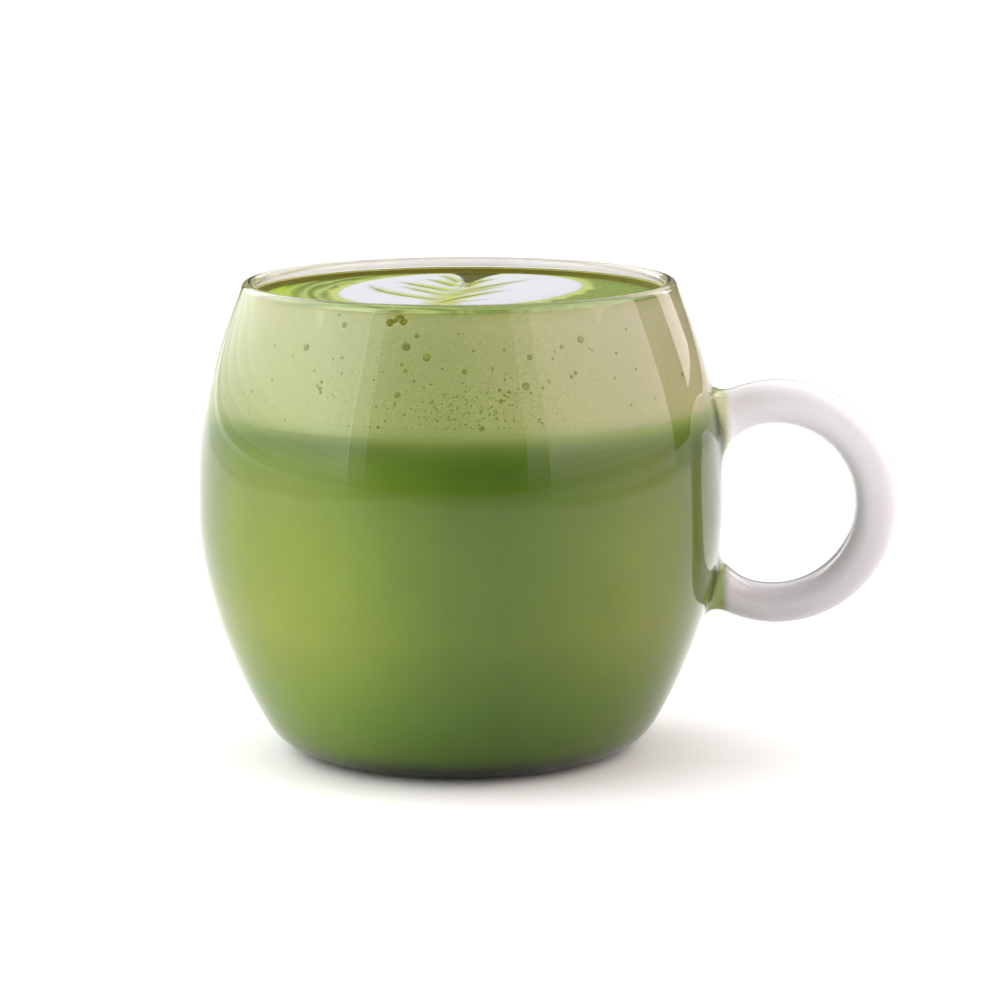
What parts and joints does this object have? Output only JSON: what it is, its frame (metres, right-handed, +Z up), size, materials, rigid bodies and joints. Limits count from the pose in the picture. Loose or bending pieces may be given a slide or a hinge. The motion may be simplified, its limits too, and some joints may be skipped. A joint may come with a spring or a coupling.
{
  "type": "matcha latte",
  "caption": "Matcha latte in a clear glass belly mug with a ring handle, with a pale foam layer and a poured white milk heart on top.",
  "frame": {"origin": "centre of the mug's flat foot, on the surface it stands on", "axes": "+Z up along the mug's axis, +X towards the handle, +Y towards the notch of the milk heart"},
  "size_m": [0.1282, 0.096, 0.086],
  "materials": {
    "mug_glass": "clear smooth pressed glass, faintly grey in the thick handle",
    "matcha_milk": "opaque green matcha milk, darker and deeper towards the middle",
    "green_foam": "pale yellow-green micro-foam with fine bubbles",
    "white_foam": "white poured milk foam with green-edged leaf veins"
  },
  "bodies": {
    "root": {"glass_mug": "mug_glass", "matcha_milk": "matcha_milk", "foam": "green_foam", "milk_heart": "white_foam"}
  },
  "joints": []
}
